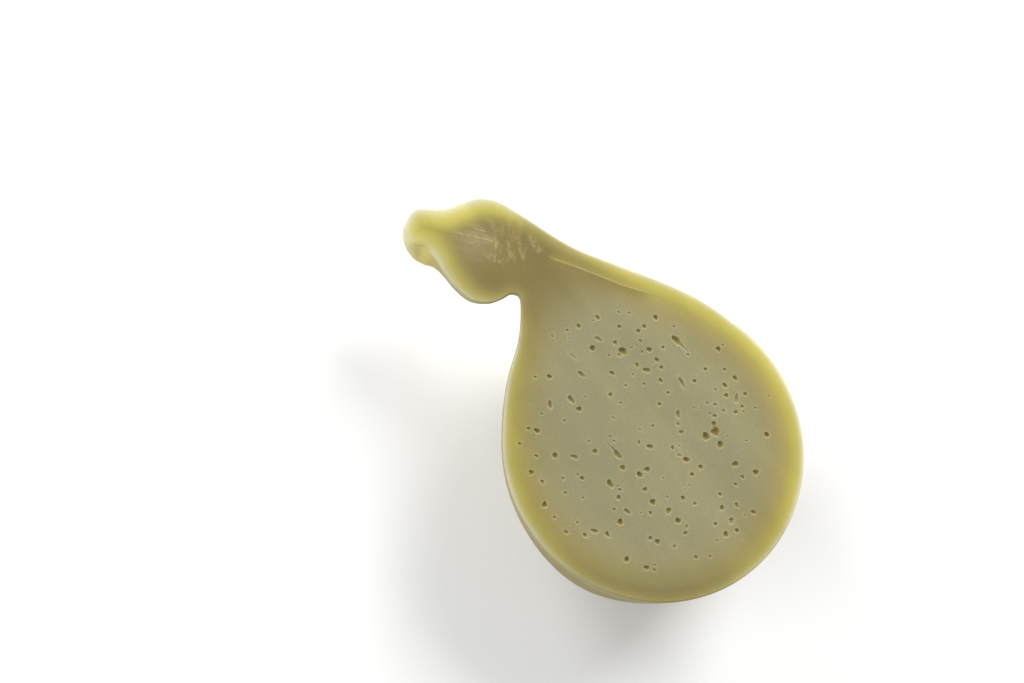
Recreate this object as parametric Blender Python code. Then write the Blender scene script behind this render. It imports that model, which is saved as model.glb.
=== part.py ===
"""Half of an aged caciocavallo, a pear-shaped stretched-curd cheese with a small head above its tied neck.

The cheese is cut lengthwise and lies on its rounded back, cut face up and level. +X runs from the head to the
bulb's far end, +Y across the cut face, +Z up out of it. The origin is under the middle of the cheese's box, on
the surface that it lies on. The eyes, the small holes of the paste, are real pits in the cut face.
"""

import math
import random

import bmesh
import bpy
from mathutils import Vector
from mathutils.geometry import delaunay_2d_cdt

MM = 0.001

# Driving dimensions, in millimetres. Places on the cut face are measured from the bulb's centre.
BULB_RADIUS = 71.3  # half the width across the bulb
BULB_END = 74.4  # from the bulb's centre to its far end, which is a little longer than round
BULB_STEP = 6.0  # degrees round the bulb from one rung to the next
BULB_LAST = 114.0  # degrees, where the outline leaves the round bulb for the shoulder
ROUNDNESS = 0.985  # depth of the back against half its width: it sagged a little as it hung
EDGE_ROUND = 0.9  # radius of the cut edge, dried soft

# The back lies on a small flat spot under its weight, blended softly into the round.
SETTLED = 3.4
SETTLE_BLEND = 1.2

# The bulb sagged out below the lower cut edge, most at this place round it and fading to both sides.
BULB_FLARE = 6.0
FLARE_AT = 60.0  # degrees from the far end
FLARE_SPREAD = 26.0

# Rungs past the bulb, each a straight line over the cut face from the upper edge to the lower:
# upper x, upper y, lower x, lower y, depth of the back below it, how far the back flares out below the lower
# edge, how far it stands out past the head's end, and the radius of the lower edge.
RUNGS = (
    (-47.2, 57.2, -46.0, -54.8, 54.9, 0.0, 0.0, EDGE_ROUND),  # shoulder
    (-64.2, 46.0, -61.8, -41.7, 43.4, 0.0, 0.0, EDGE_ROUND),
    (-80.2, 33.7, -75.6, -26.5, 30.6, 0.0, 0.0, EDGE_ROUND),
    (-95.4, 22.0, -87.6, -17.4, 20.6, 0.0, 0.0, EDGE_ROUND),
    (-105.3, 16.2, -92.6, -15.3, 16.6, 0.0, 0.0, EDGE_ROUND),
    (-112.4, 12.8, -95.7, -17.9, 15.6, 0.0, 0.0, EDGE_ROUND),  # neck, where the cord was tied
    (-119.4, 9.7, -95.8, -22.6, 17.6, 0.0, 0.0, EDGE_ROUND),
    (-127.4, 6.1, -97.2, -28.8, 21.6, 0.0, 0.0, EDGE_ROUND),
    (-135.8, 1.9, -102.6, -35.2, 24.2, 0.0, 0.0, EDGE_ROUND),  # head
    (-141.9, -4.9, -110.3, -38.1, 23.2, 0.0, 0.0, EDGE_ROUND),
    (-144.5, -12.9, -119.0, -39.4, 19.2, 0.6, 0.0, EDGE_ROUND),
    (-145.7, -20.2, -127.4, -39.2, 14.8, 4.6, 0.0, 1.0),
    (-147.8, -24.8, -133.0, -39.9, 12.4, 7.9, 0.0, 1.6),  # throat
    (-150.8, -29.0, -136.6, -41.3, 12.6, 8.4, 0.2, 3.0),
    (-153.1, -33.6, -138.4, -44.0, 12.0, 6.4, 0.3, 4.2),  # lip
    (-152.9, -37.2, -141.1, -45.8, 10.2, 3.6, 0.3, 4.0),
    (-151.4, -40.3, -144.6, -45.8, 8.0, 1.6, 0.2, 2.6),
)
HEAD_AXIS = Vector((-0.80, -0.60))
LIP_END_BULGE = 0.25  # how far the lip's end is domed, against half the last rung's length
LIP_END_STEPS = 3
RUNG_STEPS = 2  # rungs worked out between one listed rung and the next
ARCH_STEPS = 18  # facets of each arch, from the upper edge round the back to the lower
EDGE_STEPS = 2

# The groove that the cord left round the back of the neck.
CORD_PLACE = 5.0  # counted along RUNGS
CORD_DEPTH = 1.6
CORD_SPREAD = 0.7

# The largest eyes: x, y, length, width, and the direction of the length in degrees from +X.
LARGE_EYES = (
    (10.7, 28.3, 4.3, 3.9, 20.0),
    (7.1, 29.9, 2.7, 2.3, 150.0),
    (10.0, 23.3, 3.9, 3.4, 5.0),
    (16.9, 26.8, 3.8, 2.8, 127.0),
    (-35.4, 36.8, 5.6, 2.9, 17.0),
    (-44.7, 12.2, 4.4, 3.4, 30.0),
    (-17.5, 27.8, 5.0, 1.9, 0.0),
    (-5.4, -17.2, 5.2, 2.5, 13.0),
    (-38.7, -21.4, 4.8, 2.3, 2.0),
    (4.0, -27.8, 4.3, 2.7, 172.0),
    (29.5, -11.5, 3.6, 2.3, 123.0),
    (-31.1, 16.7, 4.3, 2.2, 41.0),
    (-5.9, 17.8, 3.7, 2.1, 156.0),
    (14.1, 9.1, 3.2, 2.7, 53.0),
    (-41.9, -31.3, 3.9, 2.1, 158.0),
    (28.4, 27.8, 3.2, 2.7, 78.0),
    (2.9, 45.8, 4.3, 1.9, 142.0),
    (-46.1, -10.8, 4.0, 2.0, 20.0),
    (19.1, -28.2, 3.8, 2.0, 15.0),
    (-0.2, -2.1, 3.2, 2.5, 38.0),
    (-15.4, -35.1, 3.8, 2.0, 35.0),
    (-55.7, 5.4, 4.4, 1.6, 30.0),
    (49.3, 11.2, 3.2, 2.1, 116.0),
    (42.0, 10.7, 2.9, 2.2, 129.0),
    (-20.8, -42.4, 2.9, 2.6, 32.0),
    (18.4, -46.3, 4.0, 1.9, 40.0),
)

# The small eyes are scattered over the bulb, thinner towards the cut edge and none in the dense neck.
SMALL_EYES = 114
SMALL_LENGTHS = (1.45, 3.0)
SMALL_CROWDING = 1.2  # above 1, more of them are short than long
SMALL_WIDTH_SHARES = (0.68, 1.0)
SMALL_DIRECTION = 22.0  # degrees from +X along which the stretched curd drew most of them out
SMALL_TURN = 30.0
EYE_SEED = 41
EYE_REACH = 61.0  # from the bulb's centre
NECK_STRETCH = 1.18  # the field of eyes reaches this much further towards the neck
EYE_CROWD_END = 50.0  # past this they thin out
EYE_GAP = 1.2  # least paste between two eyes
EYE_DEPTH_SHARE = 0.5  # depth of an eye against its width
EYE_SIDES = 7
EYE_FLOOR_SHARE = 0.62  # size of the ring between an eye's mouth and its floor

PASTE_COLOUR = (0.34, 0.31, 0.16, 1.0)


def smooth_point(before, start, end, after, share):
    """A point between start and end on the Catmull-Rom curve through the four."""
    square, cube = share**2, share**3
    return tuple(
        0.5 * (2 * b + (c - a) * share + (2 * a - 5 * b + 4 * c - d) * square + (3 * b - a - 3 * c + d) * cube)
        for a, b, c, d in zip(before, start, end, after)
    )


def bulb_rung(degrees):
    """The rung across the round bulb at this angle from its far end."""
    angle = math.radians(degrees)
    reach = BULB_END if degrees < 90 else BULB_RADIUS
    x, y = reach * math.cos(angle), BULB_RADIUS * math.sin(angle)
    flare = BULB_FLARE * math.exp(-(((degrees - FLARE_AT) / FLARE_SPREAD) ** 2))
    return (x, y, x, -y, y * ROUNDNESS, flare, 0.0, EDGE_ROUND)


def all_rungs():
    """Every rung from the bulb's far end to the lip, each with its place along RUNGS."""
    steps = round(BULB_LAST / BULB_STEP)
    rungs = [(bulb_rung(step * BULB_STEP), -9.0) for step in range(1, steps + 1)]
    last, before_last = RUNGS[-1], RUNGS[-2]
    past_end = tuple(2 * a - b for a, b in zip(last, before_last))
    keys = [bulb_rung(BULB_LAST - 15.0), bulb_rung(BULB_LAST), *RUNGS, past_end]
    for index in range(1, len(keys) - 2):
        for step in range(1, RUNG_STEPS + 1):
            share = step / RUNG_STEPS
            rungs.append((smooth_point(*keys[index - 1 : index + 3], share), index - 2 + share))
    end, end_place = rungs[-1]
    for step in range(1, LIP_END_STEPS):
        share = step / LIP_END_STEPS
        rungs.append((lip_end_rung(end, 1 - share), end_place + share))
    return rungs


def lip_end_rung(end, size):
    """A rung over the lip's gently domed end: the last rung shrunk to a share of its size, and further out."""
    upper, lower = Vector(end[0:2]), Vector(end[2:4])
    half = (upper - lower) / 2
    middle = (upper + lower) / 2 + Vector((-half.y, half.x)) * LIP_END_BULGE * (1 - size**2)
    upper, lower = middle + half * size, middle - half * size
    lower_round = EDGE_ROUND + (end[7] - EDGE_ROUND) * size
    return (*upper, *lower, end[4] * size, end[5] * size, end[6] * size, lower_round)


def lower_turn(rung):
    """How far the surface turns over the lower edge, from the cut face down to the slope of the flare."""
    return math.atan2(rung[4], 2 * rung[5])


def arch(rung, place):
    """The back's arch below a rung, from the upper edge round to the lower."""
    upper, lower = Vector(rung[0:2]), Vector(rung[2:4])
    depth, flare, stand_out, lower_round = rung[4:8]
    lower_drop = lower_round * (1 - math.cos(lower_turn(rung)))
    middle, half = (upper + lower) / 2, (upper - lower) / 2
    depth -= CORD_DEPTH * math.exp(-(((place - CORD_PLACE) / CORD_SPREAD) ** 2))
    points = []
    for step in range(ARCH_STEPS + 1):
        angle = math.pi * step / ARCH_STEPS
        spot = middle + half * math.cos(angle)
        if step > ARCH_STEPS / 2:
            spot += half.normalized() * flare * math.sin(2 * angle)
        spot += HEAD_AXIS * stand_out * math.sin(angle)
        drop = EDGE_ROUND + (lower_drop - EDGE_ROUND) * (1 - math.cos(angle)) / 2
        points.append((spot.x, spot.y, -drop - (depth - drop) * math.sin(angle)))
    return points


def settled(z, lowest):
    """A height of the back after its weight has flattened the spot that it lies on."""
    level = lowest + SETTLED
    if z >= level + SETTLE_BLEND:
        return z
    return level + max(0.0, z - level + SETTLE_BLEND) ** 2 / (4 * SETTLE_BLEND)


def inset(loop, distances):
    """The loop of points, which runs anticlockwise, with each point moved inwards by its own distance."""
    moved = []
    for index, point in enumerate(loop):
        along = loop[(index + 1) % len(loop)] - loop[index - 1]
        inwards = Vector((-along.y, along.x)).normalized()
        moved.append(point + inwards * distances[index])
    return moved


def small_eyes():
    """The scattered eyes, clear of each other and of the large ones."""
    dice = random.Random(EYE_SEED)
    eyes = list(LARGE_EYES)
    while len(eyes) < len(LARGE_EYES) + SMALL_EYES:
        distance = EYE_REACH * math.sqrt(dice.random())
        angle = dice.uniform(0, 2 * math.pi)
        length = SMALL_LENGTHS[0] + (SMALL_LENGTHS[1] - SMALL_LENGTHS[0]) * dice.random() ** SMALL_CROWDING
        width = length * dice.uniform(*SMALL_WIDTH_SHARES)
        direction = SMALL_DIRECTION + dice.gauss(0, SMALL_TURN)
        keep = dice.random()
        thinning = max(0.0, distance - EYE_CROWD_END) / (EYE_REACH - EYE_CROWD_END)
        x, y = distance * math.cos(angle), distance * math.sin(angle)
        x *= NECK_STRETCH if x < 0 else 1.0
        clear = all(math.hypot(x - e[0], y - e[1]) > (length + e[2]) / 2 + EYE_GAP for e in eyes)
        if clear and keep > 0.8 * thinning:
            eyes.append((x, y, length, width, direction))
    return eyes


def eye_ring(eye, size):
    """Points round an eye, shrunk to a share of its size."""
    x, y, length, width, direction = eye
    turn = math.radians(direction)
    ring = []
    for side in range(EYE_SIDES):
        angle = 2 * math.pi * side / EYE_SIDES
        u, v = size * length / 2 * math.cos(angle), size * width / 2 * math.sin(angle)
        ring.append(Vector((x + u * math.cos(turn) - v * math.sin(turn), y + u * math.sin(turn) + v * math.cos(turn))))
    return ring


def add_ring(mesh, points, heights):
    return [mesh.verts.new((point.x, point.y, z)) for point, z in zip(points, heights)]


def join_rings(mesh, first, second):
    """Faces between two closed rings of the same count."""
    for index in range(len(first)):
        after = (index + 1) % len(first)
        mesh.faces.new((first[index], first[after], second[after], second[index]))


def close_ring(mesh, ring, middle):
    """A fan from a closed ring to one point."""
    for index in range(len(ring)):
        mesh.faces.new((ring[index], ring[(index + 1) % len(ring)], middle))


def add_back(mesh):
    """The rounded back, skinned over its arches.

    It gives back the ring of points along its open edge, and the radius and turn of the cut edge at each.
    """
    rungs = all_rungs()
    rows = [[mesh.verts.new(point) for point in arch(rung, place)] for rung, place in rungs]
    far_end = mesh.verts.new((BULB_END, 0, -EDGE_ROUND))
    for first, second in zip(rows, rows[1:]):
        for step in range(ARCH_STEPS):
            mesh.faces.new((first[step], first[step + 1], second[step + 1], second[step]))
    for step in range(ARCH_STEPS):
        mesh.faces.new((far_end, rows[0][step + 1], rows[0][step]))
    end = rows[-1]
    middle = sum((vert.co for vert in end), Vector()) / len(end)
    end_middle = mesh.verts.new(middle)
    for step in range(ARCH_STEPS):
        mesh.faces.new((end_middle, end[step], end[step + 1]))
    mesh.faces.new((end_middle, end[-1], end[0]))
    lowest = min(vert.co.z for vert in mesh.verts)
    for vert in mesh.verts:
        vert.co.z = settled(vert.co.z, lowest)
    ring = [far_end, *(row[0] for row in rows), *(row[-1] for row in reversed(rows))]
    upper_bends = [(EDGE_ROUND, math.pi / 2)] * (1 + len(rows))
    lower_bends = [(rung[7], lower_turn(rung)) for rung, _ in reversed(rungs)]
    return ring, upper_bends + lower_bends


def add_cut_face(mesh, edge, bends):
    """The rounded cut edge and the flat face inside it, with every eye sunk into it."""
    outline = [vert.co.to_2d() for vert in edge]
    ring = edge
    for step in range(1, EDGE_STEPS + 1):
        left = 1 - step / EDGE_STEPS
        distances = [radius * (math.sin(turn) - math.sin(turn * left)) for radius, turn in bends]
        heights = [-radius * (1 - math.cos(turn * left)) for radius, turn in bends]
        inner = add_ring(mesh, inset(outline, distances), heights)
        join_rings(mesh, ring, inner)
        ring = inner
    corners = list(ring)
    loops = [list(range(len(ring)))]
    for eye in small_eyes():
        mouth = add_ring(mesh, eye_ring(eye, 1.0), [0.0] * EYE_SIDES)
        depth = EYE_DEPTH_SHARE * eye[3]
        floor_height = -depth * math.sqrt(1 - EYE_FLOOR_SHARE**2)
        floor_ring = add_ring(mesh, eye_ring(eye, EYE_FLOOR_SHARE), [floor_height] * EYE_SIDES)
        join_rings(mesh, mouth, floor_ring)
        close_ring(mesh, floor_ring, mesh.verts.new((eye[0], eye[1], -depth)))
        loops.append(list(range(len(corners), len(corners) + EYE_SIDES)))
        corners += mouth
    flat = [corner.co.to_2d() for corner in corners]
    _, _, triangles, sources, _, origins = delaunay_2d_cdt(flat, [], loops, 1, 1e-6)
    for triangle, inside in zip(triangles, origins):
        if inside == [0]:
            mesh.faces.new([corners[sources[index][0]] for index in triangle])


def half_cheese():
    mesh = bmesh.new()
    edge, bends = add_back(mesh)
    add_cut_face(mesh, edge, bends)
    low = Vector([min(vert.co[axis] for vert in mesh.verts) for axis in range(3)])
    high = Vector([max(vert.co[axis] for vert in mesh.verts) for axis in range(3)])
    origin = Vector(((low.x + high.x) / 2, (low.y + high.y) / 2, low.z))
    for vert in mesh.verts:
        vert.co = (vert.co - origin) * MM
    bmesh.ops.recalc_face_normals(mesh, faces=mesh.faces)
    data = bpy.data.meshes.new("half_cheese")
    mesh.to_mesh(data)
    mesh.free()
    cheese = bpy.data.objects.new("half_cheese", data)
    bpy.context.scene.collection.objects.link(cheese)
    return cheese


def cheese_material():
    material = bpy.data.materials.new("aged_cheese")
    material.use_nodes = True
    shader = material.node_tree.nodes["Principled BSDF"]
    shader.inputs["Base Color"].default_value = PASTE_COLOUR
    shader.inputs["Roughness"].default_value = 0.45
    shader.inputs["Metallic"].default_value = 0.0
    return material


for leftover in list(bpy.data.objects):
    bpy.data.objects.remove(leftover, do_unlink=True)
half_cheese().data.materials.append(cheese_material())
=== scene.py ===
"""Looks for half of an aged caciocavallo: the finely modelled cheese, its studio floor, lights and camera.

Lengths are in millimetres from the middle of the round bulb, on the cut face: +X towards the bulb's far end,
+Y across the cut face, +Z up out of it. They turn to metres where meshes, lights and the camera are made.
"""

import math
import random

import bmesh
import bpy
import numpy as np
from mathutils import Matrix, Vector
from mathutils.geometry import delaunay_2d_cdt


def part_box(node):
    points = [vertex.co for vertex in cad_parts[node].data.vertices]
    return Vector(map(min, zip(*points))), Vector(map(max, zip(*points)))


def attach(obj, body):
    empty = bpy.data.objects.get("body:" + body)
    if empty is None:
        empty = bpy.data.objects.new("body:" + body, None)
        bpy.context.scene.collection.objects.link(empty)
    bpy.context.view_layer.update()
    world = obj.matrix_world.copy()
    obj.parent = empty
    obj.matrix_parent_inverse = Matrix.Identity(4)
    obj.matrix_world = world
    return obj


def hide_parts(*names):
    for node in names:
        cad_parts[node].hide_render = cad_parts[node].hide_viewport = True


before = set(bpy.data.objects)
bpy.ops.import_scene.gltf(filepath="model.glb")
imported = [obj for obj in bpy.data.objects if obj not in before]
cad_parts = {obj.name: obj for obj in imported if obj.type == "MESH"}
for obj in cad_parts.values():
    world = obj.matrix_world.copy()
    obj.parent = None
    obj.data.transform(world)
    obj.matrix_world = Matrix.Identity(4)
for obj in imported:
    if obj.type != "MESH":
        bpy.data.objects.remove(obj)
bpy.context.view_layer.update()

NODE = "half_cheese"
MM = 0.001

# ---- the cheese's form, as the solid has it

BULB_RADIUS = 71.3  # half the width across the bulb
BULB_END = 74.4  # from the bulb's middle to its far end
BULB_STEP = 1.5  # degrees between rungs
BULB_LAST = 114.0  # degrees, where the shoulder starts
ROUNDNESS = 0.985  # depth of the back against half its width
EDGE_ROUND = 0.9  # radius of the cut edge, dried soft
SETTLED = 3.4  # height lost to the flat spot that it lies on
SETTLE_BLEND = 1.2
BULB_FLARE = 6.0  # how far the bulb sagged out below the lower cut edge
FLARE_AT = 60.0  # degrees from the far end
FLARE_SPREAD = 26.0

# Rungs past the bulb, each a straight line over the cut face: upper x and y, lower x and y, depth of the back
# below it, and where it isn't plain, how far the back flares out below the lower edge, how far it stands out
# past the head's end, and the radius of the lower edge.
PLAIN_RUNG = (0.0, 0.0, EDGE_ROUND)
SHAPED_RUNGS = (
    (-47.2, 57.2, -46.0, -54.8, 54.9),  # shoulder
    (-64.2, 46.0, -61.8, -41.7, 43.4),
    (-80.2, 33.7, -75.6, -26.5, 30.6),
    (-95.4, 22.0, -87.6, -17.4, 20.6),
    (-105.3, 16.2, -92.6, -15.3, 16.6),
    (-112.4, 12.8, -95.7, -17.9, 15.6),  # neck, where the cord was tied
    (-119.4, 9.7, -95.8, -22.6, 17.6),
    (-127.4, 6.1, -97.2, -28.8, 21.6),
    (-135.8, 1.9, -102.6, -35.2, 24.2),  # head
    (-141.9, -4.9, -110.3, -38.1, 23.2),
    (-144.5, -12.9, -119.0, -39.4, 19.2, 0.6, 0.0, EDGE_ROUND),
    (-145.7, -20.2, -127.4, -39.2, 14.8, 4.6, 0.0, 1.0),
    (-147.8, -24.8, -133.0, -39.9, 12.4, 7.9, 0.0, 1.6),  # throat
    (-150.8, -29.0, -136.6, -41.3, 12.6, 8.4, 0.2, 3.0),
    (-153.1, -33.6, -138.4, -44.0, 12.0, 6.4, 0.3, 4.2),  # lip
    (-152.9, -37.2, -141.1, -45.8, 10.2, 3.6, 0.3, 4.0),
    (-151.4, -40.3, -144.6, -45.8, 8.0, 1.6, 0.2, 2.6),
)
RUNGS = [(*rung, *PLAIN_RUNG)[:8] for rung in SHAPED_RUNGS]
HEAD_AXIS = Vector((-0.80, -0.60))
NECK_PLACE = 5.0  # counted along RUNGS
LIP_END_PLACE = 16.0
LIP_END_STEPS = 6  # rungs over the rounded end of the lip
LIP_END_BULGE = 0.25  # against half the last rung's length
CORD_DEPTH = 1.6  # of the groove that the cord left
CORD_SPREAD = 0.7
RUNG_STEPS = 8
ARCH_STEPS = 72
EDGE_STEPS = 6

# Soft folds gathered at the neck, and slow dents all over the back.
FOLD_COUNT = 11.0
FOLD_DEPTH = 0.45
FOLD_SPREAD = 1.9
DENT_DEPTH = 0.22
DENT_WAVES = ((2.1, 0.9, 0.0, 1.0), (3.7, -0.55, 2.0, 1.0), (6.3, 1.7, 0.5, 0.6))  # round, along, start, size
RELIEF_FROM, RELIEF_FULL = 1.0, 14.0  # half widths of an arch between which folds and dents come in

# ---- the eyes, the small holes of the paste

# The largest: x, y, length, width, and the direction of the length in degrees from +X.
LARGE_EYES = (
    (10.7, 28.3, 4.3, 3.9, 20), (7.1, 29.9, 2.7, 2.3, 150), (10.0, 23.3, 3.9, 3.4, 5),
    (16.9, 26.8, 3.8, 2.8, 127), (-35.4, 36.8, 5.6, 2.9, 17), (-44.7, 12.2, 4.4, 3.4, 30),
    (-17.5, 27.8, 5.0, 1.9, 0), (-5.4, -17.2, 5.2, 2.5, 13), (-38.7, -21.4, 4.8, 2.3, 2),
    (4.0, -27.8, 4.3, 2.7, 172), (29.5, -11.5, 3.6, 2.3, 123), (-31.1, 16.7, 4.3, 2.2, 41),
    (-5.9, 17.8, 3.7, 2.1, 156), (14.1, 9.1, 3.2, 2.7, 53), (-41.9, -31.3, 3.9, 2.1, 158),
    (28.4, 27.8, 3.2, 2.7, 78), (2.9, 45.8, 4.3, 1.9, 142), (-46.1, -10.8, 4.0, 2.0, 20),
    (19.1, -28.2, 3.8, 2.0, 15), (-0.2, -2.1, 3.2, 2.5, 38), (-15.4, -35.1, 3.8, 2.0, 35),
    (-55.7, 5.4, 4.4, 1.6, 30), (49.3, 11.2, 3.2, 2.1, 116), (42.0, 10.7, 2.9, 2.2, 129),
    (-20.8, -42.4, 2.9, 2.6, 32), (18.4, -46.3, 4.0, 1.9, 40),
)
# Thin ends drawn out of some of them, in the same way.
DRAWN_ENDS = (
    (9.0, 29.1, 2.6, 1.7, 20), (4.2, 32.2, 2.3, 1.8, 70), (2.0, 30.9, 1.6, 1.1, 20),
    (-32.2, 37.6, 3.4, 1.3, 12), (-29.3, 38.3, 3.2, 0.8, 16), (-8.8, -17.6, 3.0, 1.2, 8),
    (-11.2, -18.2, 3.4, 0.6, 14), (-55.3, -9.5, 4.2, 0.9, 15), (-44.0, 10.1, 2.8, 1.9, 60),
    (-43.9, 16.4, 2.0, 0.9, 80), (-15.2, 27.6, 2.6, 0.9, -12),
)
SMALL_EYES = 114
SMALL_LENGTHS = (1.45, 3.0)
SMALL_CROWDING = 1.2  # above 1, more of them are short than long
SMALL_WIDTH_SHARES = (0.68, 1.0)
SMALL_DIRECTION = 22.0  # degrees from +X, along the stretched curd
SMALL_TURN = 30.0
EYE_SEED = 41
EYE_REACH = 61.0
NECK_STRETCH = 1.18  # the field of eyes reaches this much further towards the neck
EYE_CROWD_END = 50.0  # past this they thin out
MOST_THINNED = 0.8  # share left out at the very end
EYE_GAP = 1.2
PINHOLES = 50
PINHOLE_LENGTHS = (0.6, 1.35)
PINHOLE_SEED = 7
PINHOLE_GAP = 0.45
COMPANION_SHARE = 0.45  # of the pinholes lie close beside another eye
COMPANION_GAPS = (0.5, 1.1)
EYE_DEPTH_SHARE = 0.5  # depth of an eye against its width
EYE_WAVES = ((2, 0.070), (3, 0.080), (5, 0.045))  # how its rim wanders from an oval: waves round it, size
EYE_LEVELS = (0.3, 0.52, 0.7, 0.83, 0.92, 0.975, 1.02, 1.1, 1.25, 1.5)  # rings of points, 1.0 on the rim
EYE_SIDES_LEAST = 11
EYE_SIDES_PER_MM = 3.0
EYE_SIDES_MOST = 24
EYE_LIP_HEIGHT = 0.05  # the knife's drag left the rims a little proud
EYE_LIP_WIDTH = 0.40
SHALLOWEST, SHALLOW_TO_DEEP = 0.52, 0.17  # of small eyes: a share, and more of it per mm of width
DEEP_EYE = 1.6  # depth at which an eye looks fully dark

# ---- the cut face's points, relief and zones

RIM_RINGS = (0.4, 0.8, 1.25, 1.75, 2.3, 2.9, 3.6, 4.4, 5.3, 6.3, 7.4, 8.6)  # inside the rounded cut edge
GRID_STEP = 1.35
GRID_MARGIN = 9.4
HEAD_GRID_STEP = 0.7  # finer, where the head's paste is torn
HEAD_GRID_END = -98.0
WAVE_HEIGHT = 0.12  # slow waves that the knife left
FACE_WAVES = ((0.075, 0.11, 0.0, 1.0), (0.19, -0.13, 1.0, 0.7), (0.05, 0.41, 2.0, 0.5))  # x, y, start, size
WAVE_FADE = 7.0

# The line where the yellow outer curd folded against the core, from the neck along the upper shoulder.
CREASE = (
    (-102.6, 6.1), (-98.9, 8.3), (-90.4, 15.2), (-80.2, 22.8), (-72.0, 28.8), (-64.4, 35.3), (-58.2, 41.2),
)
CREASE_WIDTH = 0.42
CREASE_HEIGHT = 0.10
CREASE_SHADE_REACH = 4.5  # of the deeper core below it
CREASE_GLOW_REACH = 3.0  # of the yellow curd above it
CREASE_ENDS = 0.2  # share of its length over which it fades at either end
# Fine scratches and soft smears in the head: lines with a half width and a strength.
SCRATCHES = (
    (((-135.0, -25.5), (-129.1, -19.1), (-124.2, -13.9), (-119.4, -10.2)), 0.6, 1.0),
    (((-134.0, -27.5), (-127.5, -20.0), (-121.5, -14.5)), 0.4, 0.4),
    (((-132.5, -20.5), (-126.9, -14.0), (-121.8, -9.2)), 0.45, 0.4),
    (((-123.2, -10.0), (-120.1, -10.3), (-118.3, -12.1)), 0.8, 1.0),
    (((-118.2, -18.4), (-114.9, -17.1), (-111.1, -14.0)), 0.8, 0.6),
    (((-116.6, -16.6), (-115.0, -15.0)), 1.0, 0.7),
    (((-127.5, 2.5), (-121.7, -1.9), (-116.7, -5.7), (-111.1, -7.7)), 0.75, 0.6),
    (((-121.9, 5.1), (-115.2, -0.5), (-110.9, -2.7), (-106.9, -3.6)), 0.8, 0.75),
    (((-114.4, 5.3), (-110.5, 4.6), (-106.5, 5.0)), 1.4, 0.8),
    (((-134.4, -8.9), (-129.4, -7.1), (-123.8, -7.3)), 1.2, 0.45),
    (((-109.6, -11.6), (-110.3, -8.2), (-111.6, -5.7)), 0.6, 0.6),
    (((-148.3, -32.6), (-146.2, -30.5), (-143.9, -29.8)), 0.45, 0.8),
)
# Darker yellow streaks between them, in the same way.
DEEP_STREAKS = (
    (((-129.4, -0.4), (-124.6, -3.6), (-119.5, -7.4)), 1.2, 0.9),
    (((-125.2, 3.6), (-119.5, -0.2), (-113.4, -5.0)), 1.1, 1.0),
)
# Patches of the head's paste, pale, torn, and drawn out in fine lines by the knife: zone, middle and reach.
HEAD_PATCHES = (
    ("head_pale", (-126.0, -19.5), 9.5),
    ("torn", (-114.5, -5.5), 9.0),
    ("drawn", (-125.5, -15.5), 9.5),
)
# The outer curd at places along the cut edge: x, y, how strongly it shines yellow, riper curd with painted
# light on it, brighter on the upper side and with painted shade on the lower, how clearly its pale line
# shows, a dried edge with a painted highlight on it, and how wide the yellow band is against the bulb's.
RIM_PLACES = (
    (74.4, 0, 0.34, 1, 1), (71.9, 18.5, 0.54, 1, 1), (64.4, 35.7, 0.8, 1.05, 1),
    (37.2, 61.7, 0.9, 1.1, 1), (0, 71.3, 1.08, 1.12, 1.05), (-18.5, 68.9, 1.18, 1.15, 1.05),
    (-35.7, 61.7, 1.12, 1.15, 1), (-50, 54.5, 1, 1.2, 1), (-70, 41, 0.96, 1.2, 1),
    (-80, 33.3, 0.84, 1.2, 0.9), (-90, 25, 0.56, 1.25, 0.8), (-100, 17.5, 0.38, 1.25, 0.8),
    (-112, 11.7, 0.3, 1.25, 0.8), (-120, 8.4, 0.42, 1.2, 0.9), (-128.5, 4.6, 0.85, 1, 1.3),
    (-137, -0.5, 1.05, 1, 1.5), (-142, -9, 1.15, 1, 1.8), (-145, -24, 1.15, 0.9, 1.9),
    (-151, -30, 1.2, 1, 1.8), (-153, -37, 1.15, 1, 1.8), (-149.5, -43.6, 1.1, 1, 1.8),
    (-145.5, -46.2, 1.1, 0.9, 1.9), (-142, -46, 1.1, 0.85, 2), (-139.6, -44.9, 1, 0.6, 2),
    (-137.6, -42.5, 0.8, 0.2, 2), (-135.8, -40.6, 0.74, 0.2, 2), (-131.5, -39.7, 0.7, 0.95, 1.8),
    (-119, -39.4, 0.48, 1, 1.5), (-103, -35.4, 0.34, 0.95, 1.3), (-97.2, -28.8, 0.3, 0.85, 1),
    (-95.7, -17.9, 0.12, 0.75, 0.6), (-88, -17.4, 0.08, 0.8, 0.6), (-75.6, -26.5, 0.36, 0.95, 0.8),
    (-61.8, -41.7, 0.52, 1, 0.9), (-46, -54.8, 0.58, 0.95, 1), (-35.7, -61.7, 0.64, 0.92, 1),
    (-18.5, -68.9, 0.66, 1, 1), (0, -71.3, 0.52, 1, 1), (19.2, -68.9, 0.35, 1, 1),
    (37.2, -61.7, 0.16, 1, 1), (52.6, -50.4, 0.05, 0.95, 1), (64.4, -35.7, 0, 0.9, 1),
    (71.9, -18.5, 0.11, 0.95, 1),
)
PALE_LINE_REACH = 3.2  # how far in the ramp starts where the pale line doesn't show
DENSE_FROM, DENSE_FULL = -58.0, -99.0  # along x, where the paste turns dense and brown towards the neck

# ---- colours, as they look under the studio light

STUDIO_LEVEL = 1.25  # light that a flat white card would send back
RAMP_LENGTH = 30.0
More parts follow.
